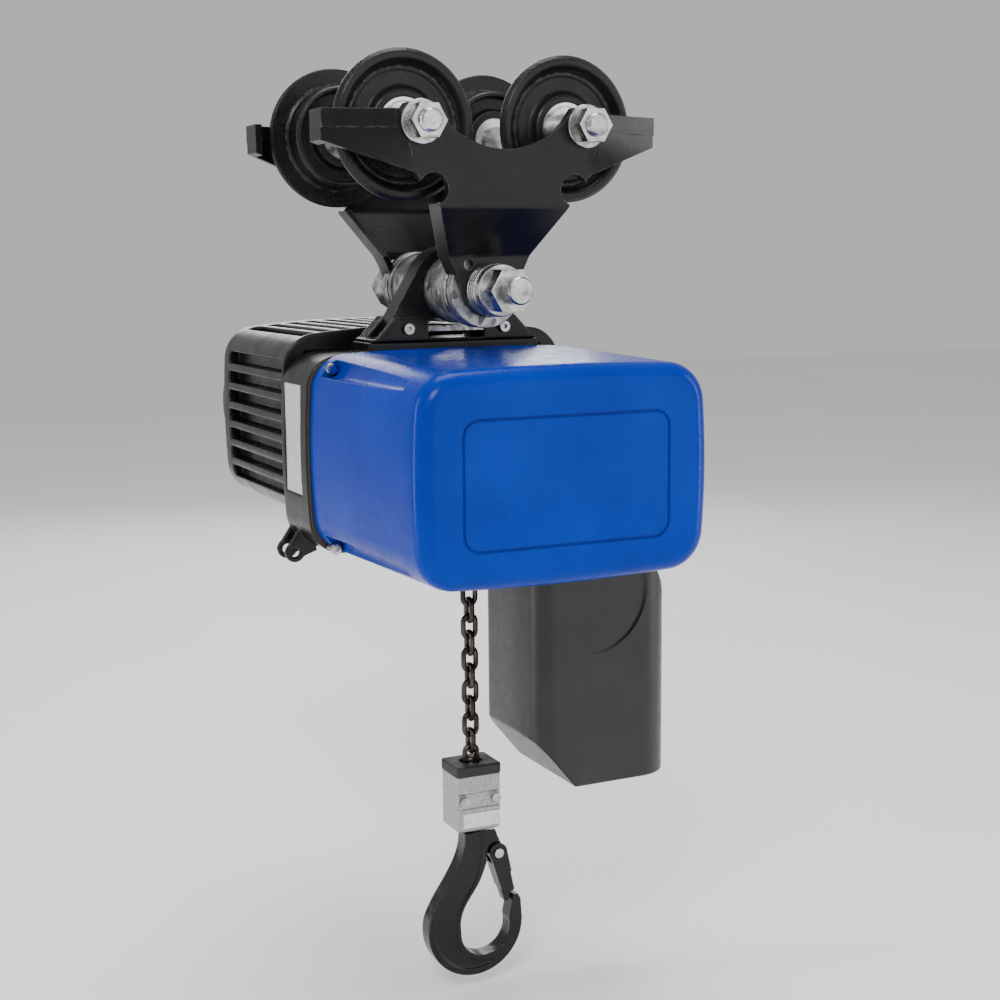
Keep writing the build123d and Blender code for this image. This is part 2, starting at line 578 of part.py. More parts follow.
with BuildPart() as layshaft:
    turned([(-74.5, 0), (-74.5, 6), (-66, 6), (-66, 8), (-48, 8), (-48, 6.9), (-18, 6.9), (-18, 6), (-11.5, 6),
            (-11.5, 0)], LAYSHAFT_X, LAYSHAFT_Z)
    spur_gear(LAYSHAFT_PINION_TEETH, -46, -22, LAYSHAFT_X, LAYSHAFT_Z, to_sprocket)
layshaft.part.label = "layshaft"
export_step(layshaft.part, "parts/layshaft.step")

with BuildPart() as sprocket_gear:
    spur_gear(SPROCKET_GEAR_TEETH, -44, -24, SPROCKET_X, AXIS_Z, to_sprocket + pi + pi / SPROCKET_GEAR_TEETH)
    rod(9, -45, -23, SPROCKET_X, AXIS_Z, Mode.SUBTRACT)
sprocket_gear.part.label = "sprocket_gear"
export_step(sprocket_gear.part, "parts/sprocket_gear.step")

# The pockets meet the chain where an upright link crosses the shaft's height; the teeth stand there.
links_above = round((AXIS_Z - LAST_LINK_Z) / (2 * LINK_PITCH))
mesh_angle = pi - (LAST_LINK_Z + links_above * 2 * LINK_PITCH - AXIS_Z) / SPROCKET_R
HUB_R = SPROCKET_R - WIRE_R - 0.45
TOOTH_TIP_R = SPROCKET_R + 1.8
with BuildPart() as chain_sprocket:
    turned([(-46, 0), (-46, 9), (-22, 9), (-22, 10), (-9, 10), (-9, HUB_R), (-2.8, HUB_R), (-2.8, 12.2),
            (2.8, 12.2), (2.8, HUB_R), (9, HUB_R), (9, 10), (18, 10), (18, 0)], SPROCKET_X, AXIS_Z)
    for pocket in range(POCKETS):
        angle = mesh_angle + pocket * 2 * pi / POCKETS
        for y0, y1 in ((-5.8, -3.2), (3.2, 5.8)):
            outline = [(HUB_R - 1, -1.9), (TOOTH_TIP_R, -0.9), (TOOTH_TIP_R, 0.9), (HUB_R - 1, 1.9)]
            slab([(SPROCKET_X + r * cos(angle) - t * sin(angle), AXIS_Z + r * sin(angle) + t * cos(angle))
                  for r, t in outline], y0, y1)
chain_sprocket.part.label = "chain_sprocket"
export_step(chain_sprocket.part, "parts/chain_sprocket.step")

BEARINGS = [(6 + RUNNING, 12, BEARING_SEAT, MOTOR_X, AXIS_Z),
            (6 + RUNNING, 13, BEARING_SEAT, LAYSHAFT_X, LAYSHAFT_Z),
            (6 + RUNNING, 14, WEB_FRONT, LAYSHAFT_X, LAYSHAFT_Z),
            (10 + RUNNING, 18.5, WEB_FRONT, SPROCKET_X, AXIS_Z),
            (10 + RUNNING, 18.5, WEB_REAR, SPROCKET_X, AXIS_Z),
            (MOTOR_SHAFT_R + RUNNING, 16, WEB_REAR, MOTOR_X, AXIS_Z),
            (MOTOR_SHAFT_R + RUNNING, 17, (166, 177), MOTOR_X, AXIS_Z)]
with BuildPart() as shaft_bearings:
    for inner_r, outer_r, (y0, y1), x, z in BEARINGS:
        step = (outer_r - inner_r) / 3
        turned([(y0, inner_r), (y0, inner_r + step), (y0 + 0.6, inner_r + step), (y0 + 0.6, outer_r - step),
                (y0, outer_r - step), (y0, outer_r), (y1, outer_r), (y1, inner_r)], x, z)
shaft_bearings.part.label = "shaft_bearings"
export_step(shaft_bearings.part, "parts/shaft_bearings.step")

# ---------------------------------------------------------------- motor and brake

FIN_PITCH, FIN_GAP, FIN_DEPTH = 14.6, 9.6, 9.0
with BuildPart() as motor_housing:
    with BuildSketch(front_plane(FRAME_REAR)):
        crowned_face(HOUSING_HALF_W, HOUSING_TOP, HOUSING_FOOT, 3, 7, 26)
    extrude_to(FRAME_REAR, HOUSING_REAR)
    fillet(faces().sort_by(Axis.Y)[-1].edges(), 5)
    rod(STATOR_R, FRAME_REAR, 164, MOTOR_X, AXIS_Z, Mode.SUBTRACT)
    for x0, x1 in ((-93, -56), (40, 93)):
        block((x0, FRAME_REAR, HOUSING_FOOT + HOUSING_FLOOR), (x1, 164, -114), Mode.SUBTRACT)
    rod(17, 160, 179, MOTOR_X, AXIS_Z, Mode.SUBTRACT)
    with BuildSketch(front_plane(178)):
        with Locations((0, CAP_Z)):
            RectangleRounded(190, 84, 38)
    extrude_to(178, HOUSING_REAR, Mode.SUBTRACT)
    with Locations((GLAND_X, GLAND_Y, HOUSING_FOOT + 8)):
        Cylinder(5, 20, mode=Mode.SUBTRACT)
    for row in range(7):
        z = -124 - row * FIN_PITCH
        for side in (LEFT, RIGHT):
            block((side * 106 - 6, FRAME_REAR + 4, z - 4.4), (side * 106 + 6, 176, z + 4.4), Mode.SUBTRACT)
    for column in range(13):
        x = (column - 6) * FIN_PITCH
        roof = HOUSING_TOP - 7 * (x / (HOUSING_HALF_W - 3))**2
        block((x - FIN_GAP / 2, FRAME_REAR + 4, roof - FIN_DEPTH), (x + FIN_GAP / 2, 176, roof + 4), Mode.SUBTRACT)
motor_housing.part.label = "motor_housing"
export_step(motor_housing.part, "parts/motor_housing.step")

with BuildPart() as motor_end_cap:
    with BuildSketch(front_plane(HOUSING_REAR)):
        with Locations((0, CAP_Z)):
            RectangleRounded(204, 94, 44)
    extrude_to(HOUSING_REAR, CAP_REAR)
    fillet(faces().sort_by(Axis.Y)[-1].edges(), 26)
    with BuildSketch(front_plane(HOUSING_REAR)):
        with Locations((0, CAP_Z)):
            RectangleRounded(194, 84, 39)
    with BuildSketch(front_plane(CAP_REAR - 22)):
        with Locations((0, CAP_Z)):
            RectangleRounded(184, 78, 37)
    loft(mode=Mode.SUBTRACT)
motor_end_cap.part.label = "motor_end_cap"
export_step(motor_end_cap.part, "parts/motor_end_cap.step")

with BuildPart() as stator_core:
    ring(STATOR_R, STATOR_BORE_R, 80, 140, MOTOR_X, AXIS_Z)
stator_core.part.label = "stator_core"
export_step(stator_core.part, "parts/stator_core.step")

with BuildPart() as stator_windings:
    for y0, y1 in ((64, 79.8), (140.2, 156)):
        turned([(y0, 29), (y0, 37), (y0 + 2, 39.5), (y1 - 2, 39.5), (y1, 37), (y1, 29), (y1 - 2, 27), (y0 + 2, 27)],
               MOTOR_X, AXIS_Z)
stator_windings.part.label = "stator_windings"
export_step(stator_windings.part, "parts/stator_windings.step")

with BuildPart() as rotor_core:
    ring(ROTOR_R, MOTOR_SHAFT_R, 81, 139, MOTOR_X, AXIS_Z)
rotor_core.part.label = "rotor_core"
export_step(rotor_core.part, "parts/rotor_core.step")

with BuildPart() as brake_disc:
    turned([(181, MOTOR_SHAFT_R), (181, 12), (184, 12), (184, 33), (188, 33), (188, MOTOR_SHAFT_R)], MOTOR_X, AXIS_Z)
brake_disc.part.label = "brake_disc"
export_step(brake_disc.part, "parts/brake_disc.step")

with BuildPart() as brake_armature:
    ring(34, MOTOR_SHAFT_R + 1, 188.4, 192.4, MOTOR_X, AXIS_Z)
brake_armature.part.label = "brake_armature"
export_step(brake_armature.part, "parts/brake_armature.step")

with BuildPart() as brake_coil:
    ring(34, MOTOR_SHAFT_R + 1.5, 193.4, 211, MOTOR_X, AXIS_Z)
    for side in (LEFT, RIGHT):
        rod(3, 178, 211, MOTOR_X + side * 38, AXIS_Z)
        x_range = sorted((MOTOR_X + side * 32, MOTOR_X + side * 40))
        block((x_range[0], 206, AXIS_Z - 4), (x_range[1], 211, AXIS_Z + 4))
brake_coil.part.label = "brake_coil"
export_step(brake_coil.part, "parts/brake_coil.step")

# ---------------------------------------------------------------- electrics

with BuildPart() as control_plate:
    block((-86, -80, -228), (78, -78, -130))
    for x in (-24, 64):
        block((x - 5, -78, -200), (x + 5, CASE_FRONT, -188))
control_plate.part.label = "control_plate"
export_step(control_plate.part, "parts/control_plate.step")

with BuildPart() as contactors:
    for x in (-60, -10):
        block((x - 22, -140, -195), (x + 22, -80, -130))
        block((x - 22, -128, -201), (x + 22, -80, -195))
contactors.part.label = "contactors"
export_step(contactors.part, "parts/contactors.step")

with BuildPart() as transformer:
    block((20, -136, -190), (74, -80, -132))
    block((27, -142, -178), (67, -136, -144))
transformer.part.label = "transformer"
export_step(transformer.part, "parts/transformer.step")

with BuildPart() as terminal_block:
    for index in range(10):
        x = -80 + index * 8
        block((x, -104, -227), (x + 7.6, -80, -209))
        rod(2.2, -104, -100, x + 3.8, -218, Mode.SUBTRACT)
terminal_block.part.label = "terminal_block"
export_step(terminal_block.part, "parts/terminal_block.step")

with BuildPart() as cable_gland:
    with BuildSketch(Plane.XY.offset(HOUSING_FOOT)):
        with Locations((GLAND_X, GLAND_Y)):
            RegularPolygon(11, 6)
    extrude(amount=-9)
    with BuildSketch(Plane.XY.offset(HOUSING_FOOT - 9)):
        with Locations((GLAND_X, GLAND_Y)):
            Circle(9)
    extrude(amount=-12, taper=8)
    with Locations((GLAND_X, GLAND_Y, HOUSING_FOOT - 12)):
        Cylinder(4, 30, mode=Mode.SUBTRACT)
cable_gland.part.label = "cable_gland"
export_step(cable_gland.part, "parts/cable_gland.step")

# ---------------------------------------------------------------- chain, guide and chain box

LOAD_LINKS = 20
load_top = LAST_LINK_Z + (LOAD_LINKS - 1) * LINK_PITCH
with BuildPart() as load_chain:
    chain_strand(LOAD_X, load_top, LOAD_LINKS, LOAD_LINKS % 2 == 1)
load_chain.part.label = "load_chain"
export_step(load_chain.part, "parts/load_chain.step")

# On the slack side the pockets hold the links half a pocket on from where the teeth stand.
SLACK_LINKS = 9
slack_tooth = (pi - mesh_angle) - 2 * pi * 2 / POCKETS + pi
slack_top = AXIS_Z + slack_tooth * SPROCKET_R - 6 * LINK_PITCH
with BuildPart() as slack_chain:
    chain_strand(SLACK_X, slack_top, SLACK_LINKS, True)
slack_chain.part.label = "slack_chain"
export_step(slack_chain.part, "parts/slack_chain.step")

with BuildPart() as chain_guide:
    block((LOAD_X + 8.2, -8, -242), (SLACK_X - 8.2, 8, -180))
    rod(28, -10, 10, SPROCKET_X, AXIS_Z, Mode.SUBTRACT)
chain_guide.part.label = "chain_guide"
export_step(chain_guide.part, "parts/chain_guide.step")


def chain_box_body(inset):
    """Solid outline of the chain box, shrunk by inset on every side but the top."""
    left, right, foot = BOX_LEFT + inset, BOX_RIGHT - inset, BOX_FOOT + inset
    front, rear = BOX_FRONT + inset, BOX_REAR - inset
    shoulder_x, shoulder_z = BOX_RIGHT - BOX_SHOULDER_R, BOX_TOP - BOX_SHOULDER_R
    reach = BOX_SHOULDER_R - inset
    with BuildPart() as body:
        with BuildSketch(Plane.XY.offset(BOX_FOOT)):
            with BuildLine():
                Polyline((left, front), (right, front), (right, rear), (left, rear), close=True)
            make_face()
            fillet(vertices().sort_by_distance((left, front))[0], 15 - inset)
            fillet(vertices().sort_by_distance((right, front))[0], 26 - inset)
            fillet(vertices().sort_by_distance((left, rear))[0], 12 - inset)
            fillet(vertices().sort_by_distance((right, rear))[0], 12 - inset)
        extrude(amount=BOX_TOP - BOX_FOOT)
        with BuildSketch(front_plane(BOX_FRONT - 1)):
            with BuildLine():
                Polyline((shoulder_x, shoulder_z + reach), (shoulder_x - 1, BOX_TOP), (left, BOX_TOP),
                         (left, -388), (left + 30, foot), (right, foot), (right, shoulder_z))
                shoulder_mid = (shoulder_x + reach * sqrt(0.5), shoulder_z + reach * sqrt(0.5))
                ThreePointArc((right, shoulder_z), shoulder_mid, (shoulder_x, shoulder_z + reach))
            make_face()
        extrude_to(BOX_FRONT - 1, BOX_REAR + 1, Mode.INTERSECT)
    return body.part


with BuildPart() as chain_box:
    add(chain_box_body(0))
    add(chain_box_body(BOX_WALL), mode=Mode.SUBTRACT)
    rod(3.2, BOX_REAR - 5, BOX_REAR + 2, BOX_LUG_X, BOX_LUG_Z, Mode.SUBTRACT)
    block((BOX_LUG_X - BOX_LUG_HALF_W - LUG_PLAY, BOX_LUG_Y[0] - LUG_PLAY, BOX_LUG_Z - 10),
          (BOX_LUG_X + BOX_LUG_HALF_W + LUG_PLAY, BOX_LUG_Y[1] + LUG_PLAY, BOX_TOP + 1), Mode.SUBTRACT)
chain_box.part.label = "chain_box"
export_step(chain_box.part, "parts/chain_box.step")

with BuildPart() as chain_box_bolt:
    rod(2.9, 0, BOX_REAR, BOX_LUG_X, BOX_LUG_Z)
    hexagon(10, BOX_REAR, BOX_REAR + 4, BOX_LUG_X, BOX_LUG_Z)
chain_box_bolt.part.label = "chain_box_bolt"
export_step(chain_box_bolt.part, "parts/chain_box_bolt.step")

# ---------------------------------------------------------------- hook block

BLOCK_HALF_W, BLOCK_HALF_D = 17.4, 15.0
CAPTURED_Z = LAST_LINK_Z - LINK_PITCH + CAPTURE_PLAY
CHAIN_PIN_R = 2.6
CHAIN_PIN_Z = CAPTURED_Z - LINK_PITCH / 2 - LINK_PLAY / 2 + CHAIN_PIN_R + 0.05
HOOK_HEAD = (-450.0, -443.5)
HOOK_SHANK_R = 6.0
BLOCK_SCREWS = [(LOAD_X - 12, -440.5), (LOAD_X + 13.2, -440.5)]

with BuildPart() as hook_block:
    with BuildSketch(Plane.XY.offset(BLOCK_TOP)):
        with Locations((LOAD_X, 0)):
            RectangleRounded(2 * BLOCK_HALF_W, 2 * BLOCK_HALF_D, 3)
    extrude(amount=BLOCK_FOOT - BLOCK_TOP)
    fillet(faces().sort_by(Axis.Z)[0].edges(), 2.5)
    for side in (FRONT, REAR):
        face = side * BLOCK_HALF_D
        block((LOAD_X - 20, min(face, face - side), -446.5), (LOAD_X + 20, max(face, face - side), -435),
              Mode.SUBTRACT)
    block((LOAD_X - 3, -7.8, -436), (LOAD_X + 3, 7.8, BLOCK_TOP + 1), Mode.SUBTRACT)
    block((LOAD_X - 9, -5, -427), (LOAD_X + 9, 5, BLOCK_TOP + 1), Mode.SUBTRACT)
    with Locations((LOAD_X, 0, (HOOK_HEAD[0] + HOOK_HEAD[1]) / 2)):
        Cylinder(9, HOOK_HEAD[1] - HOOK_HEAD[0] + 1, mode=Mode.SUBTRACT)
    with Locations((LOAD_X, 0, -458)):
        Cylinder(HOOK_SHANK_R + RUNNING, 20, mode=Mode.SUBTRACT)
    with Locations(Location((LOAD_X, 0, CHAIN_PIN_Z), (0, 90, 0))):
        Cylinder(CHAIN_PIN_R, 26, mode=Mode.SUBTRACT)
    for x, z in BLOCK_SCREWS:
        rod(2.0, -20, 12, x, z, Mode.SUBTRACT)
    block((-10, -GAP, -470), (40, GAP, -420), Mode.SUBTRACT)
hook_block.part.label = "hook_block"
export_step(hook_block.part, "parts/hook_block.step")

with BuildPart() as block_buffer:
    with BuildSketch(Plane.XY.offset(BLOCK_TOP)):
        with Locations((LOAD_X, 0)):
            RectangleRounded(2 * BLOCK_HALF_W + 0.6, 2 * BLOCK_HALF_D + 0.6, 2.5)
            RectangleRounded(17, 11, 4, mode=Mode.SUBTRACT)
            Rectangle(6, 16, mode=Mode.SUBTRACT)
    extrude(amount=BUFFER_TOP - BLOCK_TOP)
    chamfer(faces().sort_by(Axis.Z)[-1].outer_wire().edges(), 0.8)
block_buffer.part.label = "block_buffer"
export_step(block_buffer.part, "parts/block_buffer.step")

with BuildPart() as captured_link:
    with Locations((LOAD_X, 0, CAPTURED_Z)):
        add(FLAT_LINK)
captured_link.part.label = "captured_link"
export_step(captured_link.part, "parts/captured_link.step")

with BuildPart() as chain_pin:
    with Locations(Location((LOAD_X, 0, CHAIN_PIN_Z), (0, 90, 0))):
        Cylinder(CHAIN_PIN_R, 25.6)
chain_pin.part.label = "chain_pin"
export_step(chain_pin.part, "parts/chain_pin.step")

with BuildPart() as block_screws:
    for x, z in BLOCK_SCREWS:
        rod(2.0, -14, 11.8, x, z)
        hexagon(7, -16.6, -14, x, z)
block_screws.part.label = "block_screws"
export_step(block_screws.part, "parts/block_screws.step")

with BuildPart() as block_plate:
    block((LOAD_X - 13.5, -15.8, -460.4), (LOAD_X + 16, -15, -449.6))
    for x in (LOAD_X - 9.4, LOAD_X + 13.2):
        rod(1.5, -16.4, -15.8, x, -455.2)
block_plate.part.label = "block_plate"
export_step(block_plate.part, "parts/block_plate.step")

# ---------------------------------------------------------------- hook and latch

HOOK_T = 14.0
BOWL = (20.5, -544.5)
BOWL_R = 20.0
HOOK_BELLY = (12.5, -540.5)
HOOK_BELLY_R = 38.0
LATCH_PIVOT = (31.6, -487.0)


def on_circle(centre, radius, angle):
    return (centre[0] + radius * cos(radians(angle)), centre[1] + radius * sin(radians(angle)))


with BuildPart() as hook:
    with BuildSketch(front_plane(-HOOK_T / 2)):
        with BuildLine():
            back = Spline((4.5, -468), (2.0, -485), (-9, -505), on_circle(HOOK_BELLY, HOOK_BELLY_R, 165))
            ThreePointArc(back @ 1, on_circle(HOOK_BELLY, HOOK_BELLY_R, 270), on_circle(HOOK_BELLY, HOOK_BELLY_R, 0))
            Polyline(on_circle(HOOK_BELLY, HOOK_BELLY_R, 0), (49.6, -526), (47.4, -521.4), (43.2, -522.2),
                     on_circle(BOWL, BOWL_R, 15))
            ThreePointArc(on_circle(BOWL, BOWL_R, 15), on_circle(BOWL, BOWL_R, 270), on_circle(BOWL, BOWL_R, 175))
            Spline(on_circle(BOWL, BOWL_R, 175), (6.5, -520), (15, -508), (21.5, -493), (24, -486))
            Polyline((24, -486), (27, -492), (31.6, -493.4), (37, -490.4), (38, -485), (31, -474), (29, -468),
                     (4.5, -468))
        make_face()
    extrude_to(-HOOK_T / 2, HOOK_T / 2)
    for side in (FRONT, REAR):
        with BuildSketch(front_plane(side * HOOK_T / 2)) as channel:
            with BuildLine():
                rib_out = Spline((10.5, -471), (8, -486), (-3, -507), on_circle(HOOK_BELLY, 33, 165))
                ThreePointArc(rib_out @ 1, on_circle(HOOK_BELLY, 33, 225), on_circle(HOOK_BELLY, 33, 290))
                Line(on_circle(HOOK_BELLY, 33, 290), on_circle(BOWL, BOWL_R + 4, 285))
                ThreePointArc(on_circle(BOWL, BOWL_R + 4, 285), on_circle(BOWL, BOWL_R + 4, 225),
                              on_circle(BOWL, BOWL_R + 4, 175))
                Spline(on_circle(BOWL, BOWL_R + 4, 175), (2.5, -521), (11, -508), (17, -490), (18, -471))
                Line((18, -471), (10.5, -471))
            make_face()
        extrude(channel.sketch, amount=1.4, dir=(0, -side, 0), mode=Mode.SUBTRACT)
        depths = sorted((side * 4, side * 10))
        rod(10.5, *depths, *LATCH_PIVOT, Mode.SUBTRACT)
    rod(2.4, -10, 10, *LATCH_PIVOT, Mode.SUBTRACT)
    with Locations((LOAD_X, 0, (BLOCK_FOOT - 1 + HOOK_HEAD[1]) / 2 - 2)):
        Cylinder(HOOK_SHANK_R, HOOK_HEAD[1] - BLOCK_FOOT + 5)
    with Locations((LOAD_X, 0, (HOOK_HEAD[0] + HOOK_HEAD[1]) / 2)):
        Cylinder(8.6, HOOK_HEAD[1] - HOOK_HEAD[0])
hook.part.label = "hook"
export_step(hook.part, "parts/hook.step")

with BuildPart() as latch_pin:
    rod(2.4, -8, 8, *LATCH_PIVOT)
    for side in (FRONT, REAR):
        rod(3.6, *sorted((side * 6.9, side * 8)), *LATCH_PIVOT)
latch_pin.part.label = "latch_pin"
export_step(latch_pin.part, "parts/latch_pin.step")

with BuildPart() as safety_latch:
    rod(7.2, -6.5, 6.5, *LATCH_PIVOT)
    slab([(38.6, -486), (45.6, -518.6), (41.6, -520.6), (40.4, -526.5), (37.4, -526.5), (26, -491.5)], -6.5, 6.5)
    for side in (FRONT, REAR):
        slab([(40, -503), (50, -503), (50, -530), (34, -530), (34, -515)], *sorted((side * 4, side * 7)),
             Mode.SUBTRACT)
    rod(9.5, -4.4, 4.4, *LATCH_PIVOT, Mode.SUBTRACT)
    rod(2.4 + RUNNING, -10, 10, *LATCH_PIVOT, Mode.SUBTRACT)
safety_latch.part.label = "safety_latch"
export_step(safety_latch.part, "parts/safety_latch.step")
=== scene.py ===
import json
from math import cos, pi, radians, sin

import bpy
from mathutils import Matrix, Vector


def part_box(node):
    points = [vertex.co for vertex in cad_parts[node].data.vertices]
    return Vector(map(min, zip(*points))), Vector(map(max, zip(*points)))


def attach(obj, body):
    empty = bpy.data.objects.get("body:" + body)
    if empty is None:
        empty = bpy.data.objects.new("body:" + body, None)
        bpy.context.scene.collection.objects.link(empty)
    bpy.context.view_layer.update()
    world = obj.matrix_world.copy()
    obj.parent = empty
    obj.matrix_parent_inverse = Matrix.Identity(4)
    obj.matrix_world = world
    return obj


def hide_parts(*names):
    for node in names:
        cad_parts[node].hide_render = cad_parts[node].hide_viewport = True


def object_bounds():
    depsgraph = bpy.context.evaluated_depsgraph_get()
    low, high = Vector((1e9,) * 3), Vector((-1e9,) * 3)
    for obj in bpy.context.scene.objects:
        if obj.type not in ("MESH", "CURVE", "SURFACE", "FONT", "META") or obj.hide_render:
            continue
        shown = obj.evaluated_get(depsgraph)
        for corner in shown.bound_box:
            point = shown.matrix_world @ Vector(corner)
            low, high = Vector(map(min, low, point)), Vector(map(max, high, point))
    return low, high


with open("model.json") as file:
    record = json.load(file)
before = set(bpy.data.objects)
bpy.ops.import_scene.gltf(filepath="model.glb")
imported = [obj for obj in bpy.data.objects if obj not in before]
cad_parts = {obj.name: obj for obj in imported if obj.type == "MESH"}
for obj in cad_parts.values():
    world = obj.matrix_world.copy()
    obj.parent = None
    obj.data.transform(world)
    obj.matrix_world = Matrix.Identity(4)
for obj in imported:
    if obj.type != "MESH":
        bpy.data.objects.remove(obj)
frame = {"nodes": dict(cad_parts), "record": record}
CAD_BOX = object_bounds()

NODES = frame["nodes"]
BODY_OF = {node: body for body, nodes in frame["record"]["behaviour"]["bodies"].items() for node in nodes}
SLOT_OF = {part["node"]: part["material_slot"] for part in frame["record"]["subparts"]}
MM = 0.001


# ---------------------------------------------------------------- material nodes

class Finish:
    """One procedural material: a Principled shader fed by textures in the row's own space."""

    def __init__(self, name, rough=0.5, metal=0.0, **sockets):
        self.material = bpy.data.materials.new(name)
        self.material.use_nodes = True
        self.tree = self.material.node_tree
        self.shader = self.tree.nodes["Principled BSDF"]
        self.shader.inputs["Roughness"].default_value = rough
        self.shader.inputs["Metallic"].default_value = metal
        for socket, value in sockets.items():
            self.shader.inputs[socket.replace("_", " ")].default_value = value
        self.place = self.tree.nodes.new("ShaderNodeTexCoord").outputs["Object"]
        self.normal = None

    def link(self, source, target):
        self.tree.links.new(source, target)

    def node(self, kind, **values):
        made = self.tree.nodes.new("ShaderNode" + kind)
        for name, value in values.items():
            setattr(made, name, value)
        return made

    def stretched(self, scale):
        """Object space stretched by scale on each axis, for brushed or drawn surfaces."""
        mapping = self.node("Mapping")
        mapping.inputs["Scale"].default_value = scale
        self.link(self.place, mapping.inputs["Vector"])
        return mapping.outputs["Vector"]

    def noise(self, scale, detail=4.0, rough=0.55, place=None, distortion=0.0):
        made = self.node("TexNoise")
        made.inputs["Scale"].default_value = scale
        made.inputs["Detail"].default_value = detail
        made.inputs["Roughness"].default_value = rough
        made.inputs["Distortion"].default_value = distortion
        self.link(place or self.place, made.inputs["Vector"])
        return made.outputs["Fac"]

    def cells(self, scale):
        made = self.node("TexVoronoi")
        made.inputs["Scale"].default_value = scale
        self.link(self.place, made.inputs["Vector"])
        return made

    def ramp(self, source, low, high, dark=0.0, bright=1.0):
        """source between low and high, remapped to dark...bright and clamped."""
        made = self.node("MapRange", clamp=True)
        made.inputs["From Min"].default_value = low
        made.inputs["From Max"].default_value = high
        made.inputs["To Min"].default_value = dark
        made.inputs["To Max"].default_value = bright
        self.link(source, made.inputs["Value"])
        return made.outputs["Result"]

    def blend(self, factor, first, second):
        """Mix of two colours, each a tuple or a socket."""
        made = self.node("Mix", data_type="RGBA")
        self.link(factor, made.inputs["Factor"])
        for value, socket in ((first, made.inputs["A"]), (second, made.inputs["B"])):
            if isinstance(value, tuple):
                socket.default_value = (*value, 1.0)
            else:
                self.link(value, socket)
        return made.outputs["Result"]

    def color(self, source):
        self.link(source, self.shader.inputs["Base Color"])

    def roughness(self, source):
        self.link(source, self.shader.inputs["Roughness"])

    def bump(self, height, depth):
        """Adds one layer of relief, depth metres high, on top of the layers already there."""
        made = self.node("Bump")
        made.inputs["Distance"].default_value = depth
        made.inputs["Strength"].default_value = 1.0
        self.link(height, made.inputs["Height"])
        if self.normal is not None:
            self.link(self.normal, made.inputs["Normal"])
        self.normal = made.outputs["Normal"]
        self.link(self.normal, self.shader.inputs["Normal"])

    def soft_edges(self, radius):
        """Rounds the light on sharp edges, as paint and tumbling leave them."""
        made = self.node("Bevel", samples=4)
        made.inputs["Radius"].default_value = radius
        self.normal = made.outputs["Normal"]
        self.link(self.normal, self.shader.inputs["Normal"])
        return self.normal

    def worn_edges(self, radius):
        """1 on sharp edges and 0 on flats, from the cosine between the true and the rounded normal."""
        bare, covered = 0.88, 0.98
        rounded = self.soft_edges(radius)
        true = self.node("NewGeometry").outputs["Normal"]
        product = self.node("VectorMath", operation="DOT_PRODUCT")
        self.link(rounded, product.inputs[0])
        self.link(true, product.inputs[1])
        edge = self.ramp(product.outputs["Value"], bare, covered, 1.0, 0.0)
        breakup = self.ramp(self.noise(260, 5.0), 0.40, 0.62)
        made = self.node("Math", operation="MULTIPLY")
        self.link(edge, made.inputs[0])
        self.link(breakup, made.inputs[1])
        return made.outputs["Value"]


def paint(name, base, light, rough, grain, depth, edge, edge_color, coat=0.0):
    """Paint on metal: orange peel, cloudy sheen and edges rubbed a little lighter."""
    finish = Finish(name, Coat_Weight=coat, Coat_Roughness=0.18, Specular_IOR_Level=0.22)
    worn = finish.worn_edges(edge)
    clouds = finish.ramp(finish.noise(22, 3.0), 0.35, 0.68)
    finish.color(finish.blend(worn, finish.blend(clouds, base, light), edge_color))
    finish.roughness(finish.ramp(finish.noise(60, 6.0), 0.3, 0.7, rough[0], rough[1]))
    finish.bump(finish.noise(grain, 2.0, 0.45), depth)
    return finish


def steel(name, base, light, rough, depth=0.00003, metal=1.0):
    """Bare or plated metal with stains, fine pitting and bright edges."""
    finish = Finish(name, metal=metal)
    finish.soft_edges(0.0004)
    stains = finish.ramp(finish.noise(85, 7.0, 0.6, distortion=0.4), 0.34, 0.66)
    finish.color(finish.blend(stains, base, light))
    finish.roughness(finish.ramp(finish.noise(170, 5.0), 0.3, 0.7, rough[0], rough[1]))
    finish.bump(finish.noise(420, 4.0), depth)
    return finish


def plate_black():
    return paint("plate_black", (0.0035, 0.0034, 0.0034), (0.0075, 0.0068, 0.0062), (0.24, 0.38),
                 900, 0.00006, 0.0010, (0.16, 0.155, 0.15), coat=0.1)


def cast_black():
    return paint("cast_black", (0.004, 0.0035, 0.0032), (0.010, 0.0078, 0.0065), (0.20, 0.38),
                 620, 0.00010, 0.0010, (0.09, 0.078, 0.068), coat=0.08)


def cast_wheel():
    finish = paint("cast_wheel", (0.004, 0.004, 0.0045), (0.011, 0.0105, 0.0115), (0.20, 0.40),
                   330, 0.00028, 0.0012, (0.13, 0.13, 0.135), coat=0.12)
    finish.bump(finish.ramp(finish.noise(900, 3.0), 0.52, 0.66), 0.00010)
    return finish


def cover_blue():
    """Gloss enamel with orange peel and fine pale dust in the film."""
    finish = Finish("cover_blue", Coat_Weight=0.10, Coat_Roughness=0.10, Specular_IOR_Level=0.08)
    finish.soft_edges(0.0018)
    clouds = finish.ramp(finish.noise(16, 3.0), 0.35, 0.68)
    base = finish.blend(clouds, (0.0, 0.020, 0.27), (0.0, 0.028, 0.33))
    specks = finish.ramp(finish.cells(620).outputs["Distance"], 0.05, 0.16, 0.55, 0.0)
    chosen = finish.node("Math", operation="MULTIPLY")
    finish.link(specks, chosen.inputs[0])
    finish.link(finish.ramp(finish.noise(210, 2.0), 0.56, 0.64), chosen.inputs[1])
    finish.color(finish.blend(chosen.outputs["Value"], base, (0.02, 0.13, 0.62)))
    finish.roughness(finish.ramp(finish.noise(75, 5.0), 0.3, 0.7, 0.22, 0.36))
    finish.bump(finish.noise(430, 2.0, 0.4), 0.00016)
    finish.bump(finish.noise(1300, 1.0), 0.00004)
    return finish


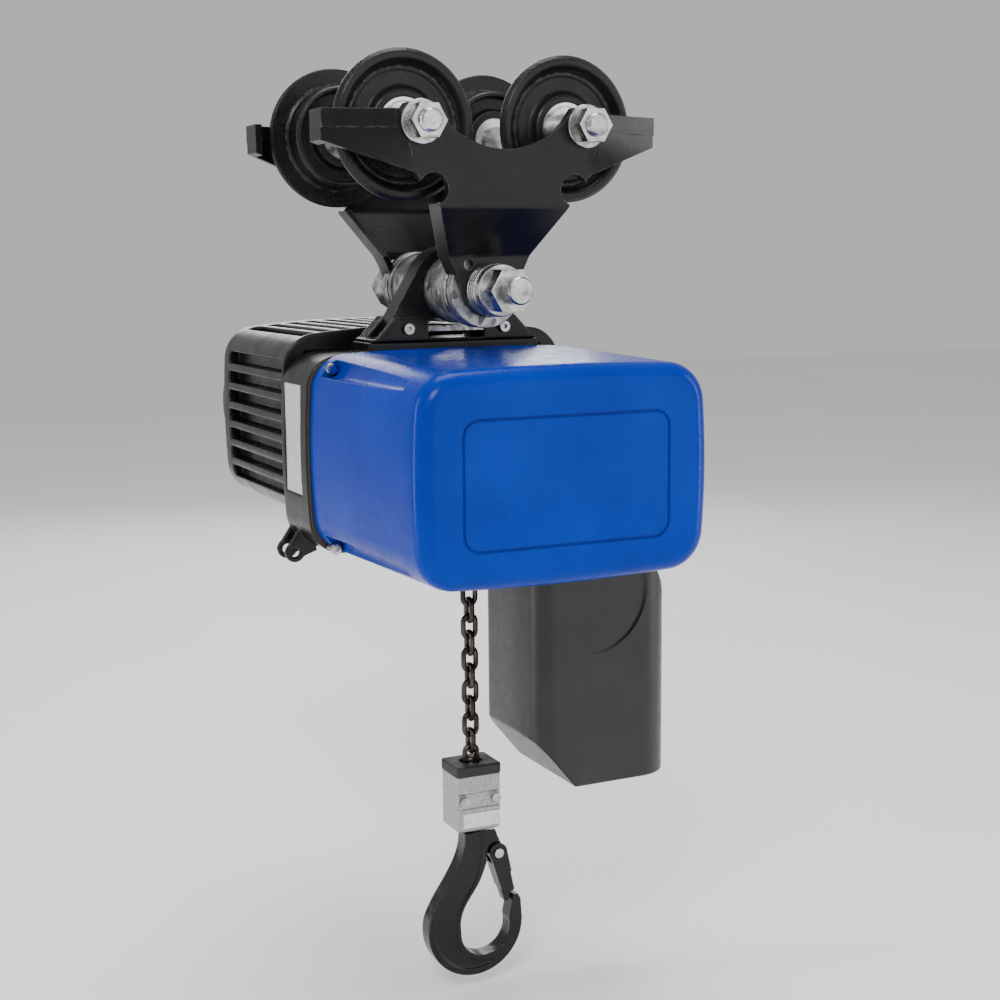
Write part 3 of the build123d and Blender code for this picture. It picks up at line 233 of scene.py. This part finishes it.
def hook_black():
    finish = paint("hook_black", (0.003, 0.003, 0.0034), (0.007, 0.007, 0.0075), (0.12, 0.28),
                   240, 0.00045, 0.0012, (0.05, 0.05, 0.053), coat=0.2)
    finish.bump(finish.noise(90, 4.0), 0.00080)
    return finish


def zinc_steel():
    return steel("zinc_steel", (0.22, 0.22, 0.215), (0.66, 0.66, 0.65), (0.16, 0.34))


def bearing_steel():
    return steel("bearing_steel", (0.60, 0.60, 0.59), (0.82, 0.82, 0.81), (0.14, 0.28), depth=0.00001)


def galvanised_steel():
    """Hot-dip zinc: spangled grains over a rough tube."""
    finish = Finish("galvanised_steel", metal=0.95)
    finish.soft_edges(0.0006)
    grains = finish.cells(210)
    tone = finish.node("SeparateColor")
    finish.link(grains.outputs["Color"], tone.inputs["Color"])
    finish.color(finish.blend(tone.outputs["Red"], (0.16, 0.16, 0.155), (0.50, 0.50, 0.49)))
    finish.roughness(finish.ramp(tone.outputs["Green"], 0.0, 1.0, 0.30, 0.55))
    finish.bump(finish.noise(260, 5.0), 0.00014)
    return finish


def chain_steel():
    """Case-hardened chain, dark with a brown oil film and rubbed crowns."""
    return steel("chain_steel", (0.022, 0.017, 0.014), (0.11, 0.088, 0.074), (0.20, 0.42), metal=0.9)


def gear_steel():
    return steel("gear_steel", (0.22, 0.22, 0.23), (0.46, 0.46, 0.47), (0.24, 0.40))


def block_aluminium():
    """Grained die casting, dull in the pits and bright on the grain."""
    finish = Finish("block_aluminium", metal=0.85)
    finish.soft_edges(0.0010)
    grain = finish.ramp(finish.noise(760, 5.0, 0.65), 0.30, 0.66)
    finish.color(finish.blend(grain, (0.24, 0.24, 0.245), (0.46, 0.46, 0.47)))
    finish.roughness(finish.ramp(finish.noise(330, 4.0), 0.3, 0.7, 0.30, 0.50))
    finish.bump(finish.noise(760, 5.0, 0.65), 0.00012)
    return finish


def case_aluminium():
    return steel("case_aluminium", (0.38, 0.38, 0.38), (0.60, 0.60, 0.60), (0.40, 0.58), depth=0.0001)


def plate_silver():
    """Satin label sheet with a fine drawn grain along it and nothing printed on it."""
    finish = Finish("plate_silver", metal=0.55)
    finish.soft_edges(0.0003)
    drawn = finish.noise(60, 6.0, 0.6, place=finish.stretched((30.0, 30.0, 2.0)))
    finish.color(finish.blend(finish.ramp(drawn, 0.3, 0.7), (0.58, 0.59, 0.61), (0.80, 0.81, 0.83)))
    finish.roughness(finish.ramp(drawn, 0.3, 0.7, 0.30, 0.46))
    finish.bump(drawn, 0.00001)
    return finish


def moulded(name, base, light, rough, grain, depth):
    """Grained plastic or rubber with soft edges and a cloudy sheen."""
    finish = Finish(name, Specular_IOR_Level=0.45)
    finish.soft_edges(0.0008)
    clouds = finish.ramp(finish.noise(30, 4.0), 0.35, 0.68)
    finish.color(finish.blend(clouds, base, light))
    finish.roughness(finish.ramp(finish.noise(140, 5.0), 0.3, 0.7, rough[0], rough[1]))
    finish.bump(finish.noise(grain, 3.0, 0.6), depth)
    return finish


def box_plastic():
    finish = moulded("box_plastic", (0.0055, 0.0053, 0.0053), (0.011, 0.0105, 0.0105), (0.27, 0.40),
                     1100, 0.00009)
    finish.bump(finish.ramp(finish.cells(1500).outputs["Distance"], 0.1, 0.5), 0.00003)
    return finish


def buffer_rubber():
    return moulded("buffer_rubber", (0.010, 0.010, 0.011), (0.022, 0.022, 0.023), (0.55, 0.75), 700, 0.00008)


def gasket_rubber():
    return moulded("gasket_rubber", (0.016, 0.011, 0.009), (0.030, 0.021, 0.017), (0.5, 0.7), 700, 0.00006)


def control_plastic():
    return moulded("control_plastic", (0.10, 0.10, 0.10), (0.16, 0.16, 0.155), (0.4, 0.55), 800, 0.00004)


def brake_lining():
    return moulded("brake_lining", (0.09, 0.07, 0.055), (0.17, 0.14, 0.11), (0.7, 0.9), 500, 0.0002)


def copper():
    """Enamelled wire, wound round the axis of the motor."""
    finish = Finish("copper", metal=0.9)
    wire = finish.noise(50, 2.0, place=finish.stretched((4.0, 30.0, 4.0)))
    finish.color(finish.blend(finish.ramp(wire, 0.35, 0.65), (0.30, 0.10, 0.03), (0.62, 0.26, 0.10)))
    finish.roughness(finish.ramp(wire, 0.3, 0.7, 0.28, 0.45))
    finish.bump(wire, 0.0004)
    return finish


def laminated(name, base, light):
    """Stacked sheet steel: fine layers along the motor's axis."""
    finish = Finish(name, metal=0.8)
    layers = finish.node("TexWave", bands_direction="Y")
    layers.inputs["Scale"].default_value = 320
    layers.inputs["Distortion"].default_value = 0.6
    finish.link(finish.place, layers.inputs["Vector"])
    finish.color(finish.blend(layers.outputs["Fac"], base, light))
    finish.roughness(finish.ramp(finish.noise(120), 0.3, 0.7, 0.4, 0.6))
    finish.bump(layers.outputs["Fac"], 0.00006)
    return finish


def stator_steel():
    return laminated("stator_steel", (0.12, 0.12, 0.13), (0.30, 0.30, 0.31))


def transformer_iron():
    return laminated("transformer_iron", (0.07, 0.05, 0.045), (0.18, 0.15, 0.13))


FINISHES = {made.__name__: made().material for made in (
    plate_black, cast_black, cast_wheel, cover_blue, hook_black, zinc_steel, bearing_steel, galvanised_steel,
    chain_steel, gear_steel, block_aluminium, case_aluminium, plate_silver, box_plastic, buffer_rubber,
    gasket_rubber, control_plastic, brake_lining, copper, stator_steel, transformer_iron)}


# ---------------------------------------------------------------- CAD nodes that stay

SHARP_ANGLE = radians(32)


def smooth_group():
    """Geometry nodes: joins the split corners of a CAD mesh and shades it smooth up to SHARP_ANGLE."""
    group = bpy.data.node_groups.new("smooth_shading", "GeometryNodeTree")
    group.interface.new_socket("Geometry", in_out="INPUT", socket_type="NodeSocketGeometry")
    group.interface.new_socket("Geometry", in_out="OUTPUT", socket_type="NodeSocketGeometry")
    start = group.nodes.new("NodeGroupInput")
    end = group.nodes.new("NodeGroupOutput")
    merge = group.nodes.new("GeometryNodeMergeByDistance")
    merge.inputs["Distance"].default_value = 1e-6
    faces = group.nodes.new("GeometryNodeSetShadeSmooth")
    edges = group.nodes.new("GeometryNodeSetShadeSmooth")
    edges.domain = "EDGE"
    angle = group.nodes.new("GeometryNodeInputMeshEdgeAngle")
    sharp = group.nodes.new("FunctionNodeCompare")
    sharp.operation = "GREATER_THAN"
    sharp.inputs["B"].default_value = SHARP_ANGLE
    edges.inputs["Shade Smooth"].default_value = False
    link = group.links.new
    link(start.outputs[0], merge.inputs["Geometry"])
    link(merge.outputs["Geometry"], faces.inputs["Geometry"])
    link(faces.outputs["Geometry"], edges.inputs["Geometry"])
    link(angle.outputs["Unsigned Angle"], sharp.inputs["A"])
    link(sharp.outputs["Result"], edges.inputs["Selection"])
    link(edges.outputs["Geometry"], end.inputs[0])
    return group


SMOOTH = smooth_group()

for node, thing in NODES.items():
    thing.data.materials.clear()
    thing.data.materials.append(FINISHES[SLOT_OF[node]])


# ---------------------------------------------------------------- castings and mouldings

def cast_piece(node, name, voxel, rounds):
    """The node's own solid, remeshed finely and relaxed, so that its edges run as soft as a casting's."""
    source = NODES[node]
    piece = bpy.data.objects.new(name, source.data.copy())
    bpy.context.scene.collection.objects.link(piece)
    remesh = piece.modifiers.new("remesh", "REMESH")
    remesh.mode = "VOXEL"
    remesh.voxel_size = voxel
    remesh.use_smooth_shade = True
    relax = piece.modifiers.new("relax", "SMOOTH")
    relax.factor = 0.5
    relax.iterations = rounds
    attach(piece, BODY_OF[node])
    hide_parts(node)
    return piece


CASTINGS = [
    ("hook", "forged_hook", 0.45 * MM, 9),
    ("motor_end_cap", "domed_end_cap", 1.0 * MM, 8),
    ("motor_housing", "finned_housing", 0.9 * MM, 4),
    ("chain_box", "moulded_chain_box", 0.7 * MM, 16),
    ("hoist_frame", "cast_frame", 0.8 * MM, 4),
    ("hook_block", "cast_hook_block", 0.35 * MM, 6),
    ("block_buffer", "rubber_buffer", 0.35 * MM, 5),
    ("suspension_bracket", "cast_bracket", 0.7 * MM, 4),
    *[(f"wheel_{place}", f"cast_wheel_{place}", 0.5 * MM, 3)
      for place in ("front_left", "front_right", "rear_left", "rear_right")],
]
CAST = {casting[0]: cast_piece(*casting) for casting in CASTINGS}


def settle(piece):
    """Turns a piece with modifiers into its final mesh, and returns that mesh."""
    graph = bpy.context.evaluated_depsgraph_get()
    mesh = bpy.data.meshes.new_from_object(piece.evaluated_get(graph))
    piece.modifiers.clear()
    piece.data = mesh
    return mesh


def scoop_chain_box():
    """The shallow scoop in the chain box's front, deepest along its curved lower right rim."""
    low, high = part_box("chain_box")
    centre_x, centre_z = low.x + 42 * MM, high.z - 32 * MM
    rim, rim_width = 46 * MM, 1.2 * MM
    start, run, deepest = low.x + 24 * MM, 62 * MM, 2.1 * MM
    corner_x = high.x - 26 * MM
    for vertex in settle(CAST["chain_box"]).vertices:
        x, y, z = vertex.co
        skin = 1.5 * MM if x < corner_x else 12 * MM
        if y > low.y + skin:
            continue
        inside = (rim - ((x - centre_x)**2 + (z - centre_z)**2)**0.5) / rim_width
        slope = min(max((x - start) / run, 0.0), 1.0)
        vertex.co.y += deepest * slope * min(max(inside, 0.0), 1.0)


scoop_chain_box()

for node, thing in NODES.items():
    shading = thing.modifiers.new("shading", "NODES")
    shading.node_group = SMOOTH


# ---------------------------------------------------------------- added detail

def lathe(name, profile, centre, steps=64):
    """Ring of revolution about a line along Y through centre (x, z); profile is (y, r) points, closed."""
    points, faces = [], []
    for step in range(steps):
        turn = 2 * pi * step / steps
        points += [(centre[0] + r * cos(turn), y, centre[1] + r * sin(turn)) for y, r in profile]
    count = len(profile)
    for step in range(steps):
        here, there = step * count, (step + 1) % steps * count
        for index in range(count):
            after = (index + 1) % count
            faces.append((here + index, here + after, there + after, there + index))
    mesh = bpy.data.meshes.new(name)
    mesh.from_pydata(points, [], faces)
    mesh.materials.append(FINISHES["zinc_steel"])
    piece = bpy.data.objects.new(name, mesh)
    bpy.context.scene.collection.objects.link(piece)
    return piece


def thread(name, centre, radius, start, end, pitch):
    """Thread crests standing on a bolt's plain end, from start to end along Y."""
    root_r, crest_r, buried_r = radius + 0.02 * MM, radius + 0.42 * MM, radius - 0.6 * MM
    step = pitch if end > start else -pitch
    profile = []
    for turn in range(int(abs(end - start) / pitch)):
        root = start + turn * step
        profile += [(root, root_r), (root + step / 2, crest_r)]
    last = profile[-1][0] + step / 2
    profile += [(last, root_r), (last, buried_r), (start, buried_r)]
    piece = lathe(name, profile, centre)
    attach(piece, "trolley")


def threads():
    """A thread on each axle end, from just outside its nut to the chamfer."""
    nut_low, nut_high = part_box("axle_nuts")
    axle_low, axle_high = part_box("wheel_axles")
    wheel_low, wheel_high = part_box("wheel_front_left")
    axle_x, axle_z = (wheel_low.x + wheel_high.x) / 2, (wheel_low.z + wheel_high.z) / 2
    axle_r, pitch, play, chamfer = 7.0 * MM, 1.5 * MM, 0.1 * MM, 0.9 * MM
    for column, x in (("left", axle_x), ("right", -axle_x)):
        thread(f"axle_thread_front_{column}", (x, axle_z), axle_r, nut_low.y - play,
               axle_low.y + chamfer, pitch)
        thread(f"axle_thread_rear_{column}", (x, axle_z), axle_r, nut_high.y + play,
               axle_high.y - chamfer, pitch)


threads()


# ---------------------------------------------------------------- floor, light and camera

def stage_floor():
    """A plain pale floor a little under the hook."""
    mesh = bpy.data.meshes.new("floor")
    half, height = 6.0, CAD_BOX[0].z - 0.012
    corners = [(-half, -half, height), (half, -half, height), (half, half, height), (-half, half, height)]
    mesh.from_pydata(corners, [], [(0, 1, 2, 3)])
    floor = bpy.data.objects.new("floor", mesh)
    bpy.context.scene.collection.objects.link(floor)
    finish = Finish("floor_paint", rough=0.7)
    tone = finish.ramp(finish.noise(3.0, 2.0), 0.3, 0.7)
    finish.color(finish.blend(tone, (0.90, 0.90, 0.90), (0.93, 0.93, 0.93)))
    mesh.materials.append(finish.material)


def soft_light(name, place, size, power):
    """A square or strip of light, size metres wide and high, turned towards the hoist."""
    target = Vector((0, 0, -0.2))
    light = bpy.data.lights.new(name, "AREA")
    light.shape = "RECTANGLE"
    light.size, light.size_y = size
    light.energy = power
    lamp = bpy.data.objects.new(name, light)
    lamp.location = place
    lamp.rotation_mode = "QUATERNION"
    lamp.rotation_quaternion = (target - Vector(place)).to_track_quat("-Z", "Y")
    bpy.context.scene.collection.objects.link(lamp)


def studio():
    """Plain soft studio light: six area lights and a white world."""
    soft_light("key", (-1.2, -1.9, 1.5), (0.9, 0.9), 46)
    soft_light("front_fill", (0.9, -2.4, 0.2), (1.8, 1.8), 13)
    soft_light("right_strip", (1.9, -0.9, 0.0), (0.30, 1.8), 15)
    soft_light("left_strip", (-1.8, 0.5, 0.0), (0.25, 1.8), 17)
    soft_light("top", (0.1, 0.3, 1.8), (1.2, 1.2), 30)
    soft_light("back", (0.6, 2.0, 0.6), (1.2, 1.2), 14)
    world = bpy.data.worlds.new("studio")
    world.use_nodes = True
    backdrop = world.node_tree.nodes["Background"]
    backdrop.inputs["Color"].default_value = (1.0, 1.0, 1.0, 1.0)
    backdrop.inputs["Strength"].default_value = 0.55
    bpy.context.scene.world = world


def camera():
    """The viewpoint in front and to the left, a little above the hoist."""
    place = Vector((-0.46026, -1.04301, -0.04745))
    yaw, pitch, roll = radians(25.55), radians(8.64), radians(-0.51)
    level = Vector((sin(yaw), cos(yaw), 0))
    forward = cos(pitch) * level - sin(pitch) * Vector((0, 0, 1))
    right = Vector((cos(yaw), -sin(yaw), 0))
    up = sin(pitch) * level + cos(pitch) * Vector((0, 0, 1))
    tilted_right = cos(roll) * right + sin(roll) * up
    tilted_up = cos(roll) * up - sin(roll) * right
    lens = bpy.data.cameras.new("camera")
    lens.lens, lens.sensor_width = 58.14, 36.0
    lens.clip_start, lens.clip_end = 0.05, 50.0
    thing = bpy.data.objects.new("camera", lens)
    turn = Matrix((tilted_right, tilted_up, -forward)).transposed().to_4x4()
    thing.matrix_world = Matrix.Translation(place) @ turn
    bpy.context.scene.collection.objects.link(thing)
    bpy.context.scene.camera = thing


stage_floor()
studio()
camera()

bpy.context.view_layer.update()
